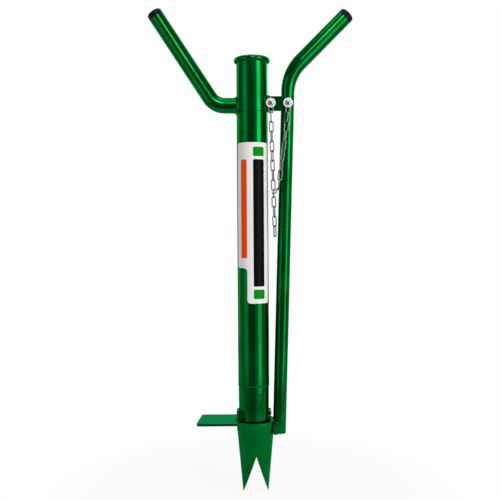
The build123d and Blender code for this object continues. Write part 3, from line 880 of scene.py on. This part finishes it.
class PLANTER_OT_add_nuts(bpy.types.Operator):
    """Put chamfered hexagon nuts and threaded ends on the two chain bolts"""

    bl_idname = "planter.add_nuts"
    bl_label = "Add Nuts"

    steps = 72
    flats = 6
    chamfer = math.radians(30)
    crown_share = 0.95
    bolt_share = 0.6
    core_share = 0.5
    lead = 0.6 * MM
    pitch = 0.75 * MM
    turns = 3
    crest = 0.22 * MM
    root = 0.2 * MM
    end_sunk = 0.2 * MM

    def turned(self, place, profile):
        """Ring of a closed profile of (radius, way along the bolt), turned about a bolt that runs along Y."""
        mesh = bmesh.new()
        verts = [mesh.verts.new(place + Vector((radius, along, 0))) for radius, along in profile]
        edges = [mesh.edges.new(pair) for pair in zip(verts, verts[1:] + verts[:1])]
        spin_round(mesh, verts + edges, place, (0, 1, 0), self.steps)
        return mesh

    def nut_profile(self, flat, corner, bolt_r, tall):
        """Section of a nut, with leads at its hole and chamfers at its corners."""
        crown = self.crown_share * flat
        fall = (corner - crown) * math.tan(self.chamfer)
        return (
            (bolt_r, self.lead), (bolt_r + self.lead, 0), (crown, 0), (corner, fall),
            (corner, tall - fall), (crown, tall), (bolt_r + self.lead, tall), (bolt_r, tall - self.lead),
        )

    def thread_profile(self, bolt_r):
        """Section of a threaded end whose crests and roots take turns along it."""
        core = self.core_share * bolt_r
        profile = [(core, -self.turns * self.pitch)]
        for step in range(2 * self.turns):
            height = self.crest if step % 2 else -self.root
            profile.append((bolt_r + height, (0.5 * step - self.turns) * self.pitch))
        profile.append((core, -self.end_sunk))
        return profile

    def execute(self, context):
        for body, carrier in (("planter_frame", "bracket"), ("lever_arm", "lever")):
            low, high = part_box(f"{carrier}_nut")
            size = high - low
            flat, corner = sorted((size.x / 2, size.z / 2))
            bolt_r = self.bolt_share * flat
            place = Vector(((low.x + high.x) / 2, low.y, (low.z + high.z) / 2))
            mesh = self.turned(place, self.nut_profile(flat, corner, bolt_r, size.y))
            first = 0.5 if size.x > size.z else 0.0
            for side in range(self.flats):
                turn = (first + side) * FULL_TURN / self.flats
                way = Vector((math.cos(turn), 0, math.sin(turn)))
                cut_across(mesh, place + way * flat, way, clear_outer=True)
                close_ends(mesh)
            nut = new_piece(f"{carrier}_hex_nut", mesh, body, "zinc_steel")
            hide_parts(f"{carrier}_nut")

            place.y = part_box(f"{carrier}_bolt")[1].y
            thread = self.turned(place, self.thread_profile(bolt_r))
            new_piece(f"{carrier}_bolt_thread", thread, body, "zinc_steel")
        return {"FINISHED"}


# The shadow fades out between two parts of the way to the floor's front edge, where all is white.
# The line under the planter is where the floor's dimmer left side in gloss and glass ends.
FLOOR_FADE = (0.5, 0.95)
FLOOR_WHITE = 0.92
FLOOR_LINE = (-8 * MM, 12 * MM)
FLOOR_LEFT = 0.5


def studio_floor(stage):
    """Pale floor, white to the camera with a soft shadow, and dimmer on its left in gloss and glass."""
    recipe = Recipe(bpy.data.materials.new("studio_floor"))
    x, y, _ = recipe.axes(recipe.place())
    front = stage.floor_r - stage.floor_back
    far = (x * x + y * y).maths("SQRT").between(*(part * front for part in FLOOR_FADE))
    gloss = x.between(*FLOOR_LINE).spread(FLOOR_LEFT, 1.0)
    share = recipe.seen(gloss) * far.spread(FLOOR_WHITE, 1.0)
    matte = recipe.node("ShaderNodeBsdfDiffuse", None, {"Color": stage.floor})
    return recipe.end(recipe.blend(share, matte, recipe.white("ShaderNodeEmission")))


# Where the room's masks begin and end, as parts of a direction from the planter.
ROOM_SIDES = (0.35, 0.8)
ROOM_TOP = (0.05, 0.25)
ROOM_DEPTH = (-0.6, 0.9)
CARD_RIGHT = (0.15, 0.32)
CARD_DEPTH = (-0.8, -0.6)
CARD_BRIGHTNESS = 0.5


def studio_room(stage):
    """Dim room with a backdrop that is white to the camera.

    In gloss and glass its sides and top are white too, and a card beside the camera is less bright.
    """
    recipe = Recipe(bpy.data.worlds.new("studio_room"))
    x, y, z = recipe.axes(recipe.place())
    pale = abs(x).between(*ROOM_SIDES).at_least(z.between(*ROOM_TOP)) * y.between(*ROOM_DEPTH)
    card = x.between(*CARD_RIGHT) * (1 - y.between(*CARD_DEPTH)) * CARD_BRIGHTNESS
    share = recipe.seen(pale.at_least(card))
    dim = recipe.white("ShaderNodeBackground", stage.sky)
    return recipe.end(recipe.blend(share, dim, recipe.white("ShaderNodeBackground")), "ShaderNodeOutputWorld")


class PLANTER_OT_set_stage(bpy.types.Operator):
    """Set up the floor, the soft boxes, the studio's light and the camera"""

    bl_idname = "planter.set_stage"
    bl_label = "Set Stage"

    floor_sides = 64
    sensor_width = 36.0
    level = math.radians(90)

    # Each soft box has its power's setting, its place, and its width and height. All face one point.
    boxes_face = Vector((0, 0, 0.5))
    soft_boxes = (
        ("key", (1.42, -1.20, 0.75), (0.95, 2.0)),
        ("high_key", (1.40, -1.18, 1.25), (0.95, 1.0)),
        ("fill", (-1.5, 1.1, 0.9), (0.4, 1.8)),
        ("rear", (1.2, 1.5, 1.4), (0.7, 2.6)),
        ("top", (0.0, -0.3, 2.4), (1.4, 1.0)),
        ("streak", (0.15, -1.63, 1.8), (0.45, 0.75)),
        ("side", (-1.45, -1.02, 0.75), (1.05, 1.8)),
    )

    def lay_floor(self, stage):
        """Round floor under the planter and behind it."""
        mesh = bmesh.new()
        bmesh.ops.create_circle(
            mesh, cap_ends=True, segments=self.floor_sides, radius=stage.floor_r,
            matrix=Matrix.Translation((0, stage.floor_back, 0)),
        )
        floor = new_object("floor", mesh)
        floor.data.materials.append(studio_floor(stage))

    def hang_boxes(self, stage, scene):
        """Soft boxes round the planter."""
        for setting, place, size in self.soft_boxes:
            lamp = bpy.data.lights.new(f"{setting}_box", "AREA")
            lamp.shape = "RECTANGLE"
            lamp.size, lamp.size_y = size
            lamp.energy = getattr(stage, setting)
            holder = bpy.data.objects.new(lamp.name, lamp)
            holder.location = place
            way = self.boxes_face - Vector(place)
            holder.rotation_euler = way.to_track_quat("-Z", "Y").to_euler()
            scene.collection.objects.link(holder)

    def set_camera(self, stage, scene):
        """Level camera in front of the planter."""
        camera = bpy.data.cameras.new("camera")
        camera.lens = stage.lens
        camera.sensor_width = self.sensor_width
        camera.shift_y = stage.rise
        holder = bpy.data.objects.new("camera", camera)
        holder.location = stage.eye
        holder.rotation_euler = (self.level, stage.roll, 0)
        scene.collection.objects.link(holder)
        scene.camera = holder

    def execute(self, context):
        scene = context.scene
        stage = scene.planter.stage
        self.lay_floor(stage)
        scene.world = studio_room(stage)
        self.hang_boxes(stage, scene)
        self.set_camera(stage, scene)
        scene.view_settings.view_transform = "Standard"
        return {"FINISHED"}


OPERATORS = (
    PLANTER_OT_finish_nodes,
    PLANTER_OT_add_label,
    PLANTER_OT_add_welds,
    PLANTER_OT_add_nuts,
    PLANTER_OT_set_stage,
)


class PLANTER_PT_sidebar(bpy.types.Panel):
    """Lists the planter's settings and operators"""

    bl_idname = "PLANTER_PT_sidebar"
    bl_label = "Hand Planter"
    bl_space_type = "VIEW_3D"
    bl_region_type = "UI"
    bl_category = "Planter"

    def draw(self, context):
        planter = context.scene.planter
        for title in ("finish", "label", "weld", "stage"):
            box = self.layout.box()
            box.label(text=title.title())
            settings = getattr(planter, title)
            for name in settings.__annotations__:
                box.prop(settings, name)
        for operator in OPERATORS:
            self.layout.operator(operator.bl_idname)


CLASSES = (PlanterFinish, PlanterLabel, PlanterWeld, PlanterStage, Planter, *OPERATORS, PLANTER_PT_sidebar)


def register():
    """Registers the classes and the scene's settings."""
    for cls in CLASSES:
        bpy.utils.register_class(cls)
    bpy.types.Scene.planter = PointerProperty(type=Planter)


def unregister():
    """Takes away what register added."""
    del bpy.types.Scene.planter
    for cls in reversed(CLASSES):
        bpy.utils.unregister_class(cls)


def main():
    """Registers the add-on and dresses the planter."""
    register()
    for operator in OPERATORS:
        group, name = operator.bl_idname.split(".")
        getattr(getattr(bpy.ops, group), name)()


if __name__ == "__main__":
    main()
